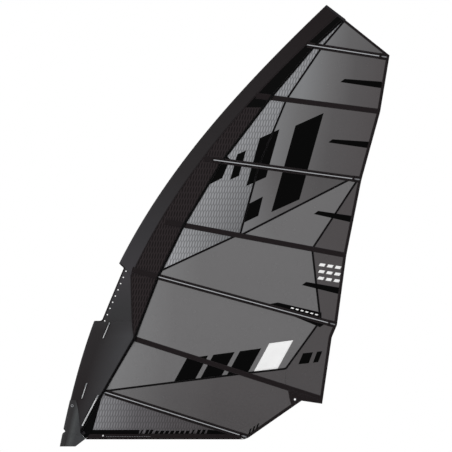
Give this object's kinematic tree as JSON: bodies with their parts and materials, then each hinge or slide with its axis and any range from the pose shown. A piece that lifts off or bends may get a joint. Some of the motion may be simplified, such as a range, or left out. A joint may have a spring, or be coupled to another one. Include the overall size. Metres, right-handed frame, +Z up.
{
  "type": "windsurf sail",
  "caption": "Race-type windsurf sail with a wide mast sleeve, boom cut-out, full battens with tensioners, camber inducers and a tack pulley block.",
  "frame": {"origin": "mast axis at the sleeve's bottom mouth", "axes": "+X aft from luff to clew, +Z up the sail, +Y to windward, away from the belly"},
  "size_m": [3.1554, 0.1827, 4.2384],
  "materials": {
    "sleeve_cloth": "coated polyester sleeve cloth, satin",
    "sleeve_mesh": "dark gridded side cloth with a fine open weave look",
    "neoprene": "matt neoprene with a knitted face",
    "head_webbing": "woven webbing",
    "scrim": "film laminate with a fine yarn scrim",
    "dark_film": "smoke tinted monofilm, glossy",
    "clear_film": "light smoke monofilm, glossy",
    "leech_film": "dark smoke monofilm, glossy",
    "patch_cloth": "layered reinforcement cloth",
    "edge_tape": "folded edge tape with stitching",
    "mini_batten": "black bonded leech reinforcement",
    "pocket_tape": "batten pocket cloth",
    "batten_tube": "silver coated carbon and glass tube",
    "tensioner_housing": "moulded light grey",
    "screw_steel": "stainless",
    "cam_plastic": "moulded black",
    "roller_plastic": "moulded white",
    "block_alloy": "anodised",
    "axle_steel": "stainless",
    "sheave_plastic": "moulded black acetal",
    "zip_tape": "moulded teeth on woven tape",
    "zip_metal": "plated slider",
    "ring_steel": "pressed stainless ring"
  },
  "bodies": {
    "root": {"sleeve_upper_port": "sleeve_cloth", "sleeve_upper_starboard": "sleeve_cloth", "sleeve_lower_port": "sleeve_cloth", "sleeve_lower_starboard": "sleeve_cloth", "sleeve_side_port": "sleeve_mesh", "sleeve_side_starboard": "sleeve_mesh", "head_cap": "head_webbing", "tack_fairing": "neoprene", "head_panel": "dark_film", "luff_scrim": "scrim", "upper_film": "dark_film", "middle_film": "dark_film", "dark_film": "dark_film", "window_upper": "clear_film", "leech_panel_upper": "leech_film", "scrim_triangle": "scrim", "window_main": "clear_film", "leech_panel_middle": "leech_film", "window_lower": "clear_film", "leech_panel_lower": "leech_film", "window_foot": "clear_film", "film_foot": "leech_film", "foot_scrim": "scrim", "tack_patch": "patch_cloth", "clew_patch": "patch_cloth", "clew_ring": "ring_steel", "edge_tapes": "edge_tape", "mini_battens": "mini_batten", "pockets_port": "pocket_tape", "pockets_starboard": "pocket_tape", "tensioner_housings": "tensioner_housing", "camber_inducer_6": "cam_plastic", "camber_inducer_7": "cam_plastic", "tack_block": "block_alloy", "tack_axle": "axle_steel", "zip_tapes": "zip_tape"},
    "batten_1": {"batten_1": "batten_tube"},
    "tensioner_screw_1": {"tensioner_screw_1": "screw_steel"},
    "batten_2": {"batten_2": "batten_tube"},
    "tensioner_screw_2": {"tensioner_screw_2": "screw_steel"},
    "batten_3": {"batten_3": "batten_tube"},
    "tensioner_screw_3": {"tensioner_screw_3": "screw_steel"},
    "batten_4": {"batten_4": "batten_tube"},
    "tensioner_screw_4": {"tensioner_screw_4": "screw_steel"},
    "batten_5": {"batten_5": "batten_tube"},
    "tensioner_screw_5": {"tensioner_screw_5": "screw_steel"},
    "batten_6": {"batten_6": "batten_tube"},
    "tensioner_screw_6": {"tensioner_screw_6": "screw_steel"},
    "batten_7": {"batten_7": "batten_tube"},
    "tensioner_screw_7": {"tensioner_screw_7": "screw_steel"},
    "cam_6_roller_port": {"cam_6_roller_port": "roller_plastic"},
    "cam_6_roller_starboard": {"cam_6_roller_starboard": "roller_plastic"},
    "cam_7_roller_port": {"cam_7_roller_port": "roller_plastic"},
    "cam_7_roller_starboard": {"cam_7_roller_starboard": "roller_plastic"},
    "tack_sheave_1": {"tack_sheave_1": "sheave_plastic"},
    "tack_sheave_2": {"tack_sheave_2": "sheave_plastic"},
    "tack_sheave_3": {"tack_sheave_3": "sheave_plastic"},
    "zip_slider_1": {"zip_slider_1": "zip_metal"},
    "zip_slider_2": {"zip_slider_2": "zip_metal"},
    "zip_slider_3": {"zip_slider_3": "zip_metal"}
  },
  "joints": [
    {"name": "batten_1_tension", "type": "slide", "parent": "root", "child": "batten_1", "axis": [-0.9865, 0.0582, 0.1528], "range_m": [0, 0.003]},
    {"name": "screw_1_turn", "type": "hinge", "parent": "root", "child": "tensioner_screw_1", "pos_m": [3.04478, -0.11232, 3.7451], "axis": [0.9865, -0.0582, -0.1528], "range_deg": [0, 1080]},
    {"name": "batten_2_tension", "type": "slide", "parent": "root", "child": "batten_2", "axis": [-0.9913, -0.0314, 0.1275], "range_m": [0, 0.003]},
    {"name": "screw_2_turn", "type": "hinge", "parent": "root", "child": "tensioner_screw_2", "pos_m": [2.96454, -0.07483, 3.22342], "axis": [0.9913, 0.0314, -0.1275], "range_deg": [0, 1080]},
    {"name": "batten_3_tension", "type": "slide", "parent": "root", "child": "batten_3", "axis": [-0.9875, -0.0841, 0.1331], "range_m": [0, 0.003]},
    {"name": "screw_3_turn", "type": "hinge", "parent": "root", "child": "tensioner_screw_3", "pos_m": [2.78459, -0.069, 2.56882], "axis": [0.9875, 0.0841, -0.1331], "range_deg": [0, 1080]},
    {"name": "batten_4_tension", "type": "slide", "parent": "root", "child": "batten_4", "axis": [-0.9758, -0.1223, 0.1814], "range_m": [0, 0.003]},
    {"name": "screw_4_turn", "type": "hinge", "parent": "root", "child": "tensioner_screw_4", "pos_m": [2.64011, -0.03239, 1.84706], "axis": [0.9758, 0.1223, -0.1814], "range_deg": [0, 1080]},
    {"name": "batten_5_tension", "type": "slide", "parent": "root", "child": "batten_5", "axis": [-0.9541, -0.1508, 0.2587], "range_m": [0, 0.003]},
    {"name": "screw_5_turn", "type": "hinge", "parent": "root", "child": "tensioner_screw_5", "pos_m": [2.5513, -0.02889, 1.18227], "axis": [0.9541, 0.1508, -0.2587], "range_deg": [0, 1080]},
    {"name": "batten_6_tension", "type": "slide", "parent": "root", "child": "batten_6", "axis": [-0.939, -0.1664, 0.3009], "range_m": [0, 0.003]},
    {"name": "screw_6_turn", "type": "hinge", "parent": "root", "child": "tensioner_screw_6", "pos_m": [2.41715, -0.00373, 0.47514], "axis": [0.939, 0.1664, -0.3009], "range_deg": [0, 1080]},
    {"name": "batten_7_tension", "type": "slide", "parent": "root", "child": "batten_7", "axis": [-0.9496, -0.0886, 0.3006], "range_m": [0, 0.003]},
    {"name": "screw_7_turn", "type": "hinge", "parent": "root", "child": "tensioner_screw_7", "pos_m": [1.70208, -0.10387, 0.10492], "axis": [0.9496, 0.0886, -0.3006], "range_deg": [0, 1080]},
    {"name": "cam_6_roller_port_spin", "type": "hinge", "parent": "root", "child": "cam_6_roller_port", "pos_m": [0.31185, -0.02688, 1.14977], "axis": [0.3052, 0, 0.9523], "continuous": true},
    {"name": "cam_6_roller_starboard_spin", "type": "hinge", "parent": "root", "child": "cam_6_roller_starboard", "pos_m": [0.3226, 0.01806, 1.14632], "axis": [0.3052, 0, 0.9523], "continuous": true},
    {"name": "cam_7_roller_port_spin", "type": "hinge", "parent": "root", "child": "cam_7_roller_port", "pos_m": [0.14408, -0.02694, 0.5981], "axis": [0.3018, 0, 0.9534], "continuous": true},
    {"name": "cam_7_roller_starboard_spin", "type": "hinge", "parent": "root", "child": "cam_7_roller_starboard", "pos_m": [0.15504, 0.01795, 0.59463], "axis": [0.3018, 0, 0.9534], "continuous": true},
    {"name": "tack_sheave_1_spin", "type": "hinge", "parent": "root", "child": "tack_sheave_1", "pos_m": [0.074, -0.00879, 0.04], "axis": [0, -1, 0], "continuous": true},
    {"name": "tack_sheave_2_spin", "type": "hinge", "parent": "root", "child": "tack_sheave_2", "pos_m": [0.074, -0.01739, 0.04], "axis": [0, -1, 0], "continuous": true},
    {"name": "tack_sheave_3_spin", "type": "hinge", "parent": "root", "child": "tack_sheave_3", "pos_m": [0.074, -0.02599, 0.04], "axis": [0, -1, 0], "continuous": true},
    {"name": "zip_1_slide", "type": "slide", "parent": "root", "child": "zip_slider_1", "axis": [-0.391, -0.0132, -0.9203], "range_m": [0, 0.122]},
    {"name": "zip_2_slide", "type": "slide", "parent": "root", "child": "zip_slider_2", "axis": [-0.3088, 0.0119, -0.9511], "range_m": [0, 0.118]},
    {"name": "zip_3_slide", "type": "slide", "parent": "root", "child": "zip_slider_3", "axis": [-0.4626, 0.0728, -0.8836], "range_m": [0, 0.293]}
  ],
  "couplings": [
    {"joint": "screw_1_turn", "follows": "batten_1_tension", "rad_per_m": 6283.2},
    {"joint": "screw_2_turn", "follows": "batten_2_tension", "rad_per_m": 6283.2},
    {"joint": "screw_3_turn", "follows": "batten_3_tension", "rad_per_m": 6283.2},
    {"joint": "screw_4_turn", "follows": "batten_4_tension", "rad_per_m": 6283.2},
    {"joint": "screw_5_turn", "follows": "batten_5_tension", "rad_per_m": 6283.2},
    {"joint": "screw_6_turn", "follows": "batten_6_tension", "rad_per_m": 6283.2},
    {"joint": "screw_7_turn", "follows": "batten_7_tension", "rad_per_m": 6283.2}
  ]
}
